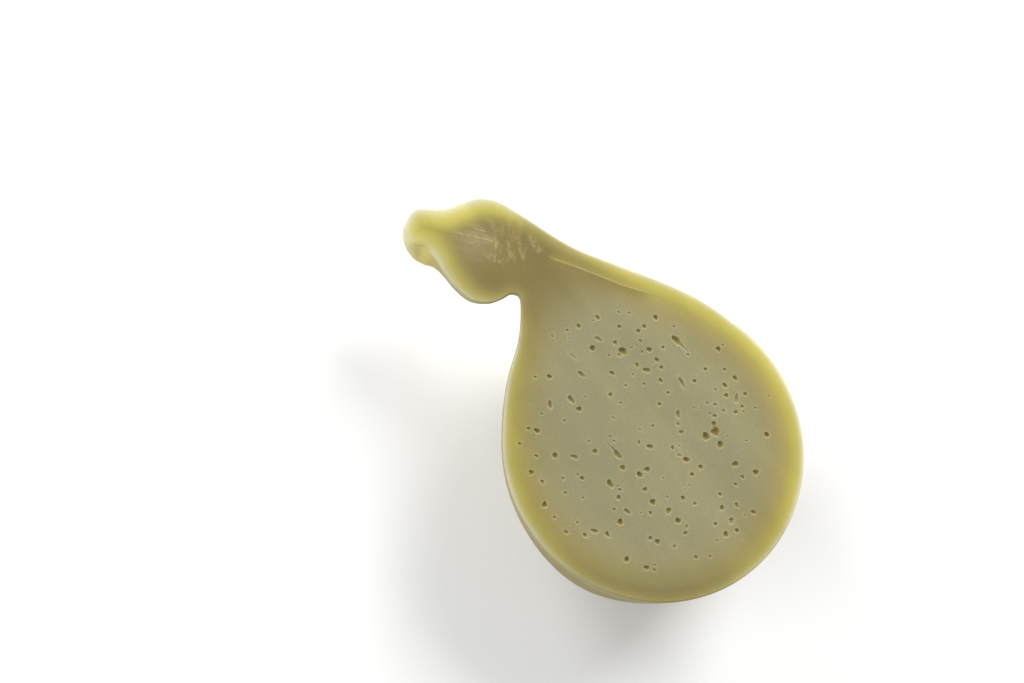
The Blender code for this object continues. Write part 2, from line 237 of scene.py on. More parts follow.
# The outer curd's colours in from the cut edge: the distance, the brightest curd there, riper with painted
# light, and the dullest, with painted shade. The palest stops, at the edge itself, are a painted highlight on
# its rounding.
RIM_COLOURS = (
    (0.0, (236, 234, 216), (174, 166, 112)),
    (0.9, (227, 222, 182), (163, 154, 88)),
    (1.8, (217, 209, 142), (152, 141, 85)),
    (2.8, (209, 199, 109), (147, 134, 76)),
    (4.0, (203, 192, 97), (143, 129, 79)),
    (5.2, (198, 186, 87), (140, 127, 79)),
    (6.5, (192, 178, 87), (141, 130, 82)),
    (8.0, (184, 169, 88), (147, 137, 87)),
    (10.0, (177, 163, 92), (150, 140, 89)),
    (12.0, (171, 158, 97), (153, 143, 94)),
    (15.0, (166, 154, 102), (157, 147, 102)),
    (20.0, (160, 152, 108), (161, 153, 112)),
    (29.0, (158, 153, 114), (160, 154, 116)),
)
DENSE_PASTE = (137, 122, 66)
HEAD_PASTE = (156, 142, 97)
EYE_DARK = (166, 150, 76)
EYE_RIM_PALE = (222, 217, 188)
SMEAR_PALE = (214, 200, 142)
STREAK_DEEP = (170, 148, 72)
CREASE_PALE = (198, 182, 120)
UNDER_CREASE = (148, 131, 72)
OVER_CREASE = (178, 161, 74)
RIND = (196, 187, 145)
RIND_DEEP = (175, 164, 117)
RIND_PALE = (225, 219, 192)
# the rind's deeper tint along the upper cut edge, and painted shade on the lower flank
RIND_BY_CUT_AND_SHADE = (159, 145, 79)
HEAD_RIND = (214, 208, 182)
# the lip's flank: yellow curd, lightened with painted light against the shade where it turns from the key
# light
LIP_CURD_SHADE_LIFTED = (233, 218, 136)
# pale curd on the lip's flank, and a painted highlight towards its rounded end
LIP_PALE_AND_HIGHLIGHT = (232, 227, 190)
# painted shade on the head's lower flank
HEAD_FLANK_SHADE = (174, 163, 98)
PASTE_SHINE = {
    "Subsurface Weight": 0.8, "Subsurface Radius": (1.0, 0.62, 0.2), "Subsurface Scale": 2.2 * MM,
    "Specular IOR Level": 0.32,
}
RIND_SHINE = {
    "Subsurface Weight": 0.5, "Subsurface Radius": (1.0, 0.7, 0.3), "Subsurface Scale": 1.8 * MM,
    "Specular IOR Level": 0.38,
}
CORE_GRAIN = 0.17  # how strongly the fine grain of the core's curd shows
EDGE_SHADE_LIFT = 0.22  # painted light: how much the curd is lightened where the lip's lower edge turns down, away from the key light, to lift the shade there
RIM_WANDER = 0.05  # of the outer curd's depth, against the ramps' length
# Marks on the paste, painted in this order: the zone, the most of it that shows, and its tone.
PASTE_MARKS = (
    ("under_crease", 0.75, UNDER_CREASE),
    ("over_crease", 0.45, OVER_CREASE),
    ("crease", 0.42, CREASE_PALE),
    ("deep_streak", 0.75, STREAK_DEEP),
)
# Noise that breaks up the worn paste: the zone, then the noise's scale, direction, stretch and limits.
WORN_PASTE = (
    ("scratch", 1100.0, -10.0, 0.5, (0.34, 0.62)),
    ("torn", 650.0, -35.0, 0.3, (0.5, 0.78)),
    ("drawn", 650.0, 42.0, 0.22, (0.48, 0.76)),
)
PATCHES_WORN = 0.75  # how strong the torn and drawn patches are against the scratches
SMEARS_SHOWN = 0.70
EYE_RIMS_SHOWN = 0.20
# The mottling of curd: direction and stretch of its patches, and the grain's share in tone and height.
CURD_DIRECTION = -12.0
CURD_STRETCH = (0.35, 1.6, 1.0)
GRAIN_IN_TONE = 0.25
GRAIN_IN_HEIGHT = 0.35
TONE_SPAN = (0.2, 0.8)  # tones of the mottling that stand for its darkest and lightest
# Specks and pits of the rind: scale against the group's, and the sizes where a spot starts and is full.
SPOTS = (("Specks", 1.0, 0.16, 0.05), ("Pits", 0.61, 0.13, 0.05))
SPOTS_KEPT = (0.62, 0.75)  # of the dice thrown for each spot
SPOT_WOBBLE = 1.2
SPOT_WOBBLE_SCALE = 700.0
# Stretches of the back where tones come in, counted along RUNGS from the bulb to the lip.
FAR_END_PLACES = (-9.0, -7.5)
HEAD_PLACES = (5.2, 8.0)
FLANK_PLACES = (6.0, 8.5)
LIP_PLACES = (10.0, 12.0)
FLOOR_WHITE = (0.90, 0.90, 0.90, 1.0)
FLOOR_WARM = (0.92, 0.92, 0.915, 1.0)

# ---- studio: light, floor and camera

LENS = 85.0
SENSOR = 36.0
CAMERA_DISTANCE = 1129.0
CAMERA_DIRECTION = Vector((0.066, -0.215, 0.974))  # from the target to the camera
CAMERA_TARGET = Vector((-76.4, -30.0, 0.0))
PICTURE_RIGHT = Vector((math.cos(math.radians(58.1)), math.sin(math.radians(58.1)), 0.0))
FLOOR_HALF = 4500.0
LIGHTS = (  # name, place, size, watts
    ("key_light", (-450.0, 1500.0, 1250.0), 1100.0, 41.0),
    ("head_light", (-1700.0, -250.0, 1000.0), 900.0, 18.0),
    ("fill_light", (-500.0, -1600.0, 1400.0), 1500.0, 19.0),
)
WORLD_LIGHT = 0.34
WORLD_SEEN = 1.0


def smooth_step(low, high, values):
    share = np.clip((values - low) / (high - low), 0.0, 1.0)
    return share * share * (3 - 2 * share)


def bell(values, reach):
    """A smooth hump: 1 where the value is 0, and a bit over a third at the reach."""
    return np.exp(-((values / reach) ** 2))


# ==== the back

def smooth_point(before, start, end, after, share):
    """A point between start and end on the Catmull-Rom curve through the four."""
    square, cube = share**2, share**3
    return tuple(
        (2 * b + (c - a) * share + (2 * a - 5 * b + 4 * c - d) * square + (3 * b - a - 3 * c + d) * cube) / 2
        for a, b, c, d in zip(before, start, end, after)
    )


def bulb_rung(degrees):
    """The rung across the round bulb at this angle from its far end."""
    angle = math.radians(degrees)
    reach = BULB_END if degrees < 90 else BULB_RADIUS
    x, y = reach * math.cos(angle), BULB_RADIUS * math.sin(angle)
    flare = BULB_FLARE * bell(degrees - FLARE_AT, FLARE_SPREAD)
    return (x, y, x, -y, y * ROUNDNESS, flare, 0.0, EDGE_ROUND)


def all_rungs():
    """Every rung from the bulb's far end to the lip, with its place along RUNGS."""
    bulb_places = np.linspace(-9.0, -1.0, round(BULB_LAST / BULB_STEP))
    rungs = [(bulb_rung(step * BULB_STEP), place) for step, place in enumerate(bulb_places, 1)]
    past_end = tuple(2 * a - b for a, b in zip(RUNGS[-1], RUNGS[-2]))
    keys = [bulb_rung(BULB_LAST - 15.0), bulb_rung(BULB_LAST), *RUNGS, past_end]
    for index in range(1, len(keys) - 2):
        for step in range(1, RUNG_STEPS + 1):
            share = step / RUNG_STEPS
            rungs.append((smooth_point(*keys[index - 1 : index + 3], share), index - 2 + share))
    end = rungs[-1][0]
    for step in range(1, LIP_END_STEPS):
        share = step / LIP_END_STEPS
        rungs.append((lip_end_rung(end, 1 - share), LIP_END_PLACE + share))
    return rungs


def lip_end_rung(end, size):
    """A rung over the lip's domed end: the last one at a share of its size, and further out."""
    upper, lower = Vector(end[0:2]), Vector(end[2:4])
    half = (upper - lower) / 2
    middle = (upper + lower) / 2 + Vector((-half.y, half.x)) * LIP_END_BULGE * (1 - size**2)
    upper, lower = middle + half * size, middle - half * size
    depth, lower_round = (EDGE_ROUND + (end[part] - EDGE_ROUND) * size for part in (4, 7))
    return (*upper, *lower, depth, end[5] * size, end[6] * size, lower_round)


def lower_turn(rung):
    """How far the surface turns over the lower edge, down to the slope of the flare."""
    return math.atan2(rung[4], 2 * rung[5])


def arch(rung, place):
    """The back's arch below a rung, from the upper edge round to the lower."""
    upper, lower = Vector(rung[0:2]), Vector(rung[2:4])
    depth, flare, stand_out, lower_round = rung[4:8]
    lower_drop = lower_round * (1 - math.cos(lower_turn(rung)))
    middle, half = (upper + lower) / 2, (upper - lower) / 2
    depth -= CORD_DEPTH * bell(place - NECK_PLACE, CORD_SPREAD)
    points = []
    for step in range(ARCH_STEPS + 1):
        angle = math.pi * step / ARCH_STEPS
        spot = middle + half * math.cos(angle)
        if step > ARCH_STEPS / 2:
            spot += half.normalized() * flare * math.sin(2 * angle)
        spot += HEAD_AXIS * stand_out * math.sin(angle)
        drop = EDGE_ROUND + (lower_drop - EDGE_ROUND) * (1 - math.cos(angle)) / 2
        points.append((spot.x, spot.y, -drop - (depth - drop) * math.sin(angle)))
    return points


def back_relief(places, angles, half_widths):
    """How far folds at the neck and slow dents stand out of the back. Narrow arches have none."""
    gathered = bell(places - NECK_PLACE, FOLD_SPREAD)
    wander = 0.5 * np.sin(1.3 * places) + 0.35 * np.sin(2.9 * places + 1.0)
    folds = np.cos(FOLD_COUNT * angles + wander)
    folds = folds + 0.5 * np.cos(1.83 * FOLD_COUNT * angles - 1.7 * wander + 0.6)
    dents = sum(
        size * np.sin(around * angles + along * places + start) for around, along, start, size in DENT_WAVES
    )
    shown = smooth_step(0.02, 0.35, np.sin(angles)) * smooth_step(RELIEF_FROM, RELIEF_FULL, half_widths)
    return shown * (FOLD_DEPTH * gathered * folds + DENT_DEPTH * dents)


def settled(heights, lowest):
    """Heights of the back, flattened where its weight lies."""
    level = lowest + SETTLED
    blended = level + np.maximum(0.0, heights - level + SETTLE_BLEND) ** 2 / (4 * SETTLE_BLEND)
    return np.where(heights >= level + SETTLE_BLEND, heights, blended)


def back_rows(rungs):
    """The points over the back, one row for each rung."""
    rows = np.array([arch(rung, place) for rung, place in rungs])
    outwards = np.cross(np.gradient(rows, axis=1), np.gradient(rows, axis=0))
    outwards /= np.maximum(np.linalg.norm(outwards, axis=2, keepdims=True), 1e-9)
    places = np.array([place for _, place in rungs])[:, None]
    angles = (math.pi * np.arange(ARCH_STEPS + 1) / ARCH_STEPS)[None, :]
    half_widths = np.array([math.dist(rung[0:2], rung[2:4]) / 2 for rung, _ in rungs])[:, None]
    lowest = rows[:, :, 2].min()
    rows = rows + outwards * back_relief(places, angles, half_widths)[:, :, None]
    rows[:, :, 2] = settled(rows[:, :, 2], lowest)
    return rows


# ==== the outline and the cut edge

def inwards_from(loop):
    """The direction inwards at each point of an anticlockwise loop."""
    along = np.roll(loop, -1, axis=0) - np.roll(loop, 1, axis=0)
    inwards = np.stack((-along[:, 1], along[:, 0]), axis=1)
    return inwards / np.linalg.norm(inwards, axis=1, keepdims=True)


def loop_distance(points, loop):
    """The distance of each point from a closed loop."""
    best = np.full(len(points), np.inf)
    for start, end in zip(loop, np.roll(loop, -1, axis=0)):
        best = np.minimum(best, segment_distance(points, start, end)[0])
    return best


def segment_distance(points, start, end):
    """The distance of each point from a segment, and the share along it where it is nearest."""
    along = end - start
    share = np.clip(((points - start) @ along) / max(along @ along, 1e-12), 0.0, 1.0)
    off = points - start - share[:, None] * along
    return np.hypot(*off.T), share


def line_distance(points, line):
    """The distance of each point from an open line, the share along it, and +1 on its left."""
    line = np.array(line)
    best, share, side = np.full(len(points), np.inf), np.zeros(len(points)), np.ones(len(points))
    for index, (start, end) in enumerate(zip(line, line[1:])):
        distance, part = segment_distance(points, start, end)
        nearer = distance < best
        along, off = end - start, points - start
        turn = np.sign(along[0] * off[:, 1] - along[1] * off[:, 0])
        best = np.where(nearer, distance, best)
        share = np.where(nearer, (index + part) / (len(line) - 1), share)
        side = np.where(nearer, turn, side)
    return best, share, side


def inside_loop(points, loop):
    """Whether each point lies inside a closed loop."""
    inside = np.zeros(len(points), bool)
    for start, end in zip(loop, np.roll(loop, -1, axis=0)):
        if start[1] == end[1]:
            continue
        crosses = (start[1] > points[:, 1]) != (end[1] > points[:, 1])
        x_there = start[0] + (points[:, 1] - start[1]) * (end[0] - start[0]) / (end[1] - start[1])
        inside ^= crosses & (points[:, 0] < x_there)
    return inside


# ==== the eyes

def field_spot(distance, angle):
    """A place in the field of eyes, which is drawn out towards the neck."""
    x, y = distance * math.cos(angle), distance * math.sin(angle)
    return x * (NECK_STRETCH if x < 0 else 1.0), y


def is_clear(x, y, length, gap, eyes):
    """Whether an eye of this length keeps a gap from all the others."""
    return all(math.hypot(x - eye[0], y - eye[1]) > (length + eye[2]) / 2 + gap for eye in eyes)


def oval(length, dice):
    """An eye's length, width and direction."""
    return length, length * dice.uniform(*SMALL_WIDTH_SHARES), SMALL_DIRECTION + dice.gauss(0, SMALL_TURN)


def scattered_eyes():
    """All eyes: small ones, clear of the large ones, then pinholes, some close beside an eye."""
    dice = random.Random(EYE_SEED)
    eyes = list(LARGE_EYES)
    while len(eyes) < len(LARGE_EYES) + SMALL_EYES:
        distance = EYE_REACH * math.sqrt(dice.random())
        angle = dice.uniform(0, math.tau)
        length = SMALL_LENGTHS[0] + (SMALL_LENGTHS[1] - SMALL_LENGTHS[0]) * dice.random() ** SMALL_CROWDING
        shape = oval(length, dice)
        keep = dice.random()
        thinning = max(0.0, distance - EYE_CROWD_END) / (EYE_REACH - EYE_CROWD_END)
        x, y = field_spot(distance, angle)
        if is_clear(x, y, length, EYE_GAP, eyes) and keep > MOST_THINNED * thinning:
            eyes.append((x, y, *shape))
    main_eyes = list(eyes)
    dice = random.Random(PINHOLE_SEED)
    while len(eyes) < len(main_eyes) + PINHOLES:
        length = dice.uniform(*PINHOLE_LENGTHS)
        shape = oval(length, dice)
        angle = dice.uniform(0, math.tau)
        if dice.random() < COMPANION_SHARE:
            host = dice.choice(main_eyes[len(LARGE_EYES) :])
            distance = (host[2] + length) / 2 + dice.uniform(*COMPANION_GAPS)
            x, y = host[0] + distance * math.cos(angle), host[1] + distance * math.sin(angle)
        else:
            x, y = field_spot(EYE_REACH * math.sqrt(dice.random()), angle)
        if is_clear(x, y, length, PINHOLE_GAP, eyes):
            eyes.append((x, y, *shape))
    return eyes + list(DRAWN_ENDS)


def rim_reach(angles, eye):
    """How far this eye's ragged rim reaches at each angle, against a plain oval."""
    dice = random.Random(round(1000 * (eye[0] + 3.7 * eye[1])))
    ragged = min(1.0, 0.35 + 0.2 * eye[2])
    return 1.0 + sum(
        ragged * size * dice.uniform(0.5, 1.5) * np.cos(count * angles + dice.uniform(0, math.tau))
        for count, size in EYE_WAVES
    )


def eye_share(points, eye):
    """How far each point is from an eye's middle, 1 at its rim."""
    x, y, length, width, direction = eye
    turn = math.radians(direction)
    dx, dy = (points - (x, y)).T
    u = (dx * math.cos(turn) + dy * math.sin(turn)) / (length / 2)
    v = (-dx * math.sin(turn) + dy * math.cos(turn)) / (width / 2)
    return np.hypot(u, v) / rim_reach(np.arctan2(v, u), eye)


def eye_points(eye):
    """Rings of points inside and round an eye, and the level of each."""
    x, y, length, width, direction = eye
    turn = math.radians(direction)
    sides = int(min(EYE_SIDES_MOST, EYE_SIDES_LEAST + EYE_SIDES_PER_MM * max(0.0, length - 1.0)))
    points, levels = [(x, y)], [0.0]
    for ring, level in enumerate(EYE_LEVELS):
        count = sides if level > 0.6 else max(6, sides // 2)
        for side in range(count):
            angle = math.tau * (side + 0.5 * (ring % 2)) / count
            reach = level * rim_reach(angle, eye) / 2
            u, v = reach * length * math.cos(angle), reach * width * math.sin(angle)
            right, up = u * math.cos(turn) - v * math.sin(turn), u * math.sin(turn) + v * math.cos(turn)
            points.append((x + right, y + up))
            levels.append(level)
    return np.array(points), np.array(levels)


def near_eye(points, eye):
    """The indices of the points that an eye can reach."""
    return np.nonzero(np.abs(points - eye[:2]).max(axis=1) < eye[2] * 1.2 + 1.5)[0]


def eye_effects(points, eyes):
    """How deep the eyes are at each point, how dark they look, and how near their rims are."""
    depth, shade, rim = np.zeros((3, len(points)))
    for eye in eyes:
        spots = near_eye(points, eye)
        share = eye_share(points[spots], eye)
        full = EYE_DEPTH_SHARE * eye[3] * min(1.0, SHALLOWEST + SHALLOW_TO_DEEP * eye[3])
        here = full * np.sqrt(np.clip(1.0 - share**2, 0.0, 1.0))
        outside = np.maximum(0.0, share - 1.0) * eye[3] / 2
        lip = bell(outside, EYE_LIP_WIDTH) * (share >= 1.0)
        depth[spots] = np.maximum(depth[spots], here)
        darkness = min(1.0, 0.30 + 0.70 * full / DEEP_EYE) * (0.45 + 0.55 * here / full)
        shade[spots] = np.maximum(shade[spots], darkness * smooth_step(1.04, 0.92, share))
        rim[spots] = np.maximum(rim[spots], lip * min(1.0, 0.3 + full))
    return depth, shade, rim * (depth <= 0.0)


# ==== the cut face

def face_waves(points, from_edge):
    """Slow waves that the knife left, none at the cut edge."""
    x, y = points.T
    waves = sum(size * np.sin(over_x * x + over_y * y + start) for over_x, over_y, start, size in FACE_WAVES)
    most = sum(wave[3] for wave in FACE_WAVES)
    return WAVE_HEIGHT * waves / most * smooth_step(0.0, WAVE_FADE, from_edge)


def mark_points(line, half_width):
    """Points along both sides of a mark, for the mesh to follow it."""
    line = np.array(line)
    spots = []
    for start, end in zip(line, line[1:]):
        along = end - start
        length = np.linalg.norm(along)
        aside = np.array((-along[1], along[0])) / length
        for share in np.arange(0.0, 1.0, 0.9 / length):
            for offset in (-1.8, -0.8, 0.0, 0.8, 1.8):
                spots.append(start + share * along + offset * half_width * aside)
    return np.array(spots)


def hex_grid(step, low, high):
    xs = np.arange(low[0], high[0], step)
    ys = np.arange(low[1], high[1], step * math.sqrt(3) / 2)
    return np.array([(x + (0.5 * step if row % 2 else 0.0), y) for row, y in enumerate(ys) for x in xs])


def face_points(outline, inner_loop, eyes):
    """The cut face's points inside its rounded edge: rings along the rim, a grid, eyes and marks."""
    kept = []

    def keep(points, least_distance):
        points = points[inside_loop(points, outline)]
        kept.append(points[loop_distance(points, outline) > least_distance])

    for ring in RIM_RINGS:
        keep(inner_loop + inwards_from(inner_loop) * ring, EDGE_ROUND + 0.93 * ring)
    eye_spots = []
    for number, eye in enumerate(eyes):
        points, levels = eye_points(eye)
        free = np.ones(len(points), bool)
        for other, neighbour in enumerate(eyes):
            if other != number and math.dist(eye[:2], neighbour[:2]) < 1.6 * (eye[2] + neighbour[2]):
                share = eye_share(points, neighbour)
                free &= (share > levels) | ((share == levels) & (number < other))
        eye_spots.extend(points[free])
    low, high = outline.min(axis=0), outline.max(axis=0)
    grid = hex_grid(GRID_STEP, low, high)
    head_grid = hex_grid(HEAD_GRID_STEP, low, (HEAD_GRID_END, high[1]))
    marks = [(CREASE, CREASE_WIDTH), *(scratch[:2] for scratch in SCRATCHES)]
    lines = np.concatenate([mark_points(line, half_width) for line, half_width in marks])
    grid = np.concatenate((grid[grid[:, 0] > HEAD_GRID_END], head_grid))
    grid = grid[off_the_eyes(grid, eyes)]
    for line, half_width in marks:
        grid = grid[line_distance(grid, line)[0] > 2.2 * half_width]
    keep(grid, GRID_MARGIN)
    keep(np.array(eye_spots), 4.0)
    keep(lines, 2.2)
    return np.concatenate(kept)


def off_the_eyes(points, eyes):
    """Whether each point is clear of the rings round every eye."""
    clear = np.ones(len(points), bool)
    for eye in eyes:
        spots = near_eye(points, eye)
        clear[spots] &= eye_share(points[spots], eye) > EYE_LEVELS[-1] + 0.6 / eye[2]
    return clear


def rim_places(points, outline):
    """The outer curd's ripeness with painted light and shade, its pale dried edge with a painted highlight,
    and its width, at each point.
    """
    steps = np.linalg.norm(np.roll(outline, -1, axis=0) - outline, axis=1)
    along = np.concatenate(((0.0,), np.cumsum(steps)[:-1]))
    stations = []
    for x, y, *values in RIM_PLACES:
        nearest = np.argmin(np.hypot(*(outline - (x, y)).T))
        stations.append((along[nearest], *values))
    stations = np.array(sorted(stations)).T
    edge_values = np.array([np.interp(along, stations[0], row, period=steps.sum()) for row in stations[1:]])
    total, weights = np.zeros((len(edge_values), len(points))), np.zeros(len(points))
    for spot, values, step in zip(outline, edge_values.T, steps):
        near = step / (((points - spot) ** 2).sum(axis=1) + 1.0) ** 2
        total += near * values[:, None]
        weights += near
    return total / weights


def crease_marks(points):
    """How far off the crease is from each point, on which side, and how fully it shows there."""
    off, share, side = line_distance(points, CREASE)
    return off, side, smooth_step(0.0, CREASE_ENDS, share) * smooth_step(1.0, 1.0 - CREASE_ENDS, share)


def strongest_mark(points, marks, fade):
    """How strongly marks show at each point. The fade follows the share of a mark's length."""
    shown = np.zeros(len(points))
    for line, half_width, strength in marks:
        off, share, _ = line_distance(points, line)
        shown = np.maximum(shown, strength * bell(off, half_width) * fade(share))
    return shown


def face_zones(points, outline, from_edge, eyes):
    """What the paste's material has to know at each point."""
    _, shade, rim = eye_effects(points, eyes)
    # painted light along the rim: brighter on the upper side, painted shade on the lower, and a painted
    # highlight on the pale edge
    ripeness_and_light, dried_edge_and_highlight, width = rim_places(points, outline)
    ripe_depth = from_edge / width + (1 - dried_edge_and_highlight) * PALE_LINE_REACH * np.exp(-from_edge / 3.0)
    crease_off, crease_side, crease_shown = crease_marks(points)
    zones = {
        "ripe_depth": ripe_depth,
        "rim_ripeness_and_light": ripeness_and_light,
        "eye_shade": shade,
        "eye_rim": rim,
        "crease": bell(crease_off, CREASE_WIDTH) * crease_shown,
        "under_crease": (crease_side < 0) * bell(crease_off, CREASE_SHADE_REACH) * crease_shown,
        "over_crease": (crease_side > 0) * bell(crease_off, CREASE_GLOW_REACH) * crease_shown,
        "dense": smooth_step(DENSE_FROM, DENSE_FULL, points[:, 0]),
        "scratch": strongest_mark(points, SCRATCHES, lambda share: 0.5 + 0.5 * share),
        "deep_streak": strongest_mark(points, DEEP_STREAKS, lambda share: np.sin(math.pi * share)),
    }
    for patch, middle, reach in HEAD_PATCHES:
        zones[patch] = bell(np.hypot(*(points - middle).T), reach)
    return zones


def face_heights(points, from_edge, eyes):
    depth, _, rim = eye_effects(points, eyes)
    crease_off, _, crease_shown = crease_marks(points)
    ridge = CREASE_HEIGHT * bell(crease_off, CREASE_WIDTH) * crease_shown
    return face_waves(points, from_edge) + ridge + EYE_LIP_HEIGHT * rim - depth


# ==== the whole piece

class Shell:
    """The corners and faces of a mesh, with the material of each face."""

    def __init__(self):
        self.corners, self.faces, self.materials = [], [], []

    def add_corners(self, points):
        first = len(self.corners)
        self.corners.extend(tuple(map(float, point)) for point in points)
        return list(range(first, len(self.corners)))

    def add_face(self, face, material):
        self.faces.append(tuple(face))
        self.materials.append(material)

    def join_rows(self, first, second, material, closed=False):
        """Faces between two rows of corners of the same count."""
        for index in range(len(first) - (not closed)):
            after = (index + 1) % len(first)
            self.add_face((first[index], first[after], second[after], second[index]), material)


PASTE_SLOT, RIND_SLOT = 0, 1


def build_cheese(paste, rind):
    """The cut half as one mesh: back, rounded cut edge, and cut face with its eyes."""
    shell = Shell()
    rungs = all_rungs()
    rows = back_rows(rungs)
    row_corners = [shell.add_corners(row) for row in rows]
    far_end = shell.add_corners([(BULB_END, 0.0, -EDGE_ROUND)])[0]
    for first, second in zip(row_corners, row_corners[1:]):
        shell.join_rows(first, second, RIND_SLOT)
    for step in range(ARCH_STEPS):
        shell.add_face((far_end, row_corners[0][step + 1], row_corners[0][step]), RIND_SLOT)
    end = row_corners[-1]
    tip_rung = lip_end_rung(rungs[-LIP_END_STEPS][0], 0.0)
    tip = shell.add_corners([(*tip_rung[:2], -EDGE_ROUND)])[0]
    for first, second in zip(end, end[1:]):
        shell.add_face((tip, first, second), RIND_SLOT)

    edge_turn = {}
    ring = [far_end, *(row[0] for row in row_corners), tip, *(row[-1] for row in reversed(row_corners))]
    outline = np.array([shell.corners[corner][:2] for corner in ring])
    bends = [(EDGE_ROUND, math.pi / 2)] * (2 + len(rungs))
    bends += [(rung[7], lower_turn(rung)) for rung, _ in reversed(rungs)]
    radii, turns = np.array(bends).T
    inwards = inwards_from(outline)
    # how much painted light lifts the shade on the wider rounded lower edges of the lip
    wide = smooth_step(EDGE_ROUND, 2.5, radii)
    for step in range(1, EDGE_STEPS + 1):
        left = 1 - step / EDGE_STEPS
        flat = outline + inwards * (radii * (np.sin(turns) - np.sin(turns * left)))[:, None]
        heights = -radii * (1 - np.cos(turns * left))
        inner = shell.add_corners(np.column_stack((flat, heights)))
        shell.join_rows(ring, inner, PASTE_SLOT, closed=True)
        edge_turn.update(zip(ring, wide * (left + 1 / EDGE_STEPS)))
        ring = inner

    eyes = scattered_eyes()
    inner_loop = np.array([shell.corners[corner][:2] for corner in ring])
    free = face_points(outline, inner_loop, eyes)
    heights = face_heights(free, loop_distance(free, outline), eyes)
    corners = ring + shell.add_corners(np.column_stack((free, heights)))
    flat = [Vector(shell.corners[corner][:2]) for corner in corners]
    _, _, triangles, sources, _, _ = delaunay_2d_cdt(flat, [], [list(range(len(ring)))], 1, 1e-5)
    for triangle in triangles:
        shell.add_face([corners[sources[index][0]] for index in triangle], PASTE_SLOT)

    points = np.array(shell.corners)
    zones = face_zones(points[:, :2], outline, loop_distance(points[:, :2], outline), eyes)
    along, around, turned = np.zeros((3, len(points)))
    along -= 9.0
    for row, (_, place) in zip(row_corners, rungs):
        along[row], around[row] = place, np.linspace(0.0, 1.0, len(row))
    along[tip] = LIP_END_PLACE + 1.0
    turned[list(edge_turn)] = list(edge_turn.values())
    zones.update(along_back=along, round_back=around, edge_turn=turned)
    return make_piece("cut_half_cheese", shell, points, zones, (paste, rind))


def bulb_middle():
    """The middle of the bulb on the cut face, in the row frame's metres."""
    _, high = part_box(NODE)
    return high.x - BULB_END * MM, high.y - BULB_RADIUS * MM, high.z


def add_object(name, data):
    made = bpy.data.objects.new(name, data)
    bpy.context.scene.collection.objects.link(made)
    return made


def make_piece(name, shell, points, zones, materials):
    """The shell as a smooth piece, with its zones as attributes and its faces turned outwards."""
    data = bpy.data.meshes.new(name)
    data.from_pydata((points * MM + np.array(bulb_middle())).tolist(), [], shell.faces)
    for material in materials:
        data.materials.append(material)
    data.polygons.foreach_set("material_index", shell.materials)
    data.polygons.foreach_set("use_smooth", [True] * len(data.polygons))
    for zone, values in zones.items():
        attribute = data.attributes.new(zone, "FLOAT", "POINT")
        attribute.data.foreach_set("value", values.astype(np.float32))
    data.validate()
    data.update()
    mesh = bmesh.new()
    mesh.from_mesh(data)
    bmesh.ops.recalc_face_normals(mesh, faces=mesh.faces)
    mesh.to_mesh(data)
    mesh.free()
    return add_object(name, data)


# ==== materials

def tone(red, green, blue):
    """The surface colour that looks like this sRGB colour under the studio light."""
    linear = []
    for level in (red, green, blue):
        level /= 255
        light = level / 12.92 if level <= 0.04045 else ((level + 0.055) / 1.055) ** 2.4
        linear.append(light / STUDIO_LEVEL)
    return (*linear, 1.0)


class Maker:
    """Adds nodes to one node tree and links them."""

    def __init__(self, tree):
        self.tree = tree

    def feed(self, node, given):
        """Links or sets inputs of the node."""
        for name, value in given.items():
            if hasattr(value, "is_output"):
                self.tree.links.new(value, node.inputs[name])
            else:
                node.inputs[name].default_value = value

    def node(self, kind, given=None, **settings):
        """A shader node of this kind with these settings and inputs."""
        node = self.tree.nodes.new("ShaderNode" + kind)
        for name, value in settings.items():
            setattr(node, name, value)
        self.feed(node, given or {})
        return node

    def zone(self, name):
        return self.node("Attribute", attribute_type="GEOMETRY", attribute_name=name).outputs["Fac"]

    def place(self):
        return self.node("TexCoord").outputs["Object"]

    def maths(self, operation, first, second):
        return self.node("Math", {0: first, 1: second}, operation=operation).outputs[0]

    def times(self, first, second):
        return self.maths("MULTIPLY", first, second)

    def span(self, value, low, high, new_low=0.0, new_high=1.0):
        """The value moved from one span to another, held at its ends."""
        given = {"Value": value, "From Min": low, "From Max": high, "To Min": new_low, "To Max": new_high}
        return self.node("MapRange", given, interpolation_type="SMOOTHSTEP").outputs["Result"]

    def blend(self, share, first, second, kind="MIX"):
        node = self.node("Mix", {0: share, 6: first, 7: second}, data_type="RGBA", blend_type=kind)
        return node.outputs[2]

    def paint(self, colour, mask, most, over):
        """The colour with another tone over it where the mask says, up to a share."""
        return self.blend(self.times(mask, most), colour, tone(*over))

    def ramp(self, value, stops):
        """Colours along a value from 0 to 1."""
        node = self.node("ValToRGB", {"Fac": value})
        elements = node.color_ramp.elements
        elements.remove(elements[1])
        for index, (place, colour) in enumerate(stops):
            element = elements[0] if index == 0 else elements.new(place)
            element.position = place
            element.color = colour
        return node.outputs["Color"]

    def noise(self, vector, scale, detail=2.0, roughness=0.5):
        given = {"Vector": vector, "Scale": scale, "Detail": detail, "Roughness": roughness}
        return self.node("TexNoise", given).outputs

    def streaks(self, scale, direction, stretch, limits):
        """A mask of noise drawn out in one direction, in degrees from +X."""
        turn = (0.0, 0.0, math.radians(direction))
        given = {"Vector": self.place(), "Rotation": turn, "Scale": (1.0 / stretch, 1.0, 1.0)}
        turned = self.node("Mapping", given, vector_type="TEXTURE").outputs["Vector"]
        return self.span(self.noise(turned, scale, 4.0, 0.6)["Fac"], *limits)

    def bump(self, strength, distance, height):
        given = {"Strength": strength, "Distance": distance, "Height": height}
        return self.node("Bump", given).outputs["Normal"]

    def group(self, group, given):
        return self.node("Group", given, node_tree=group).outputs


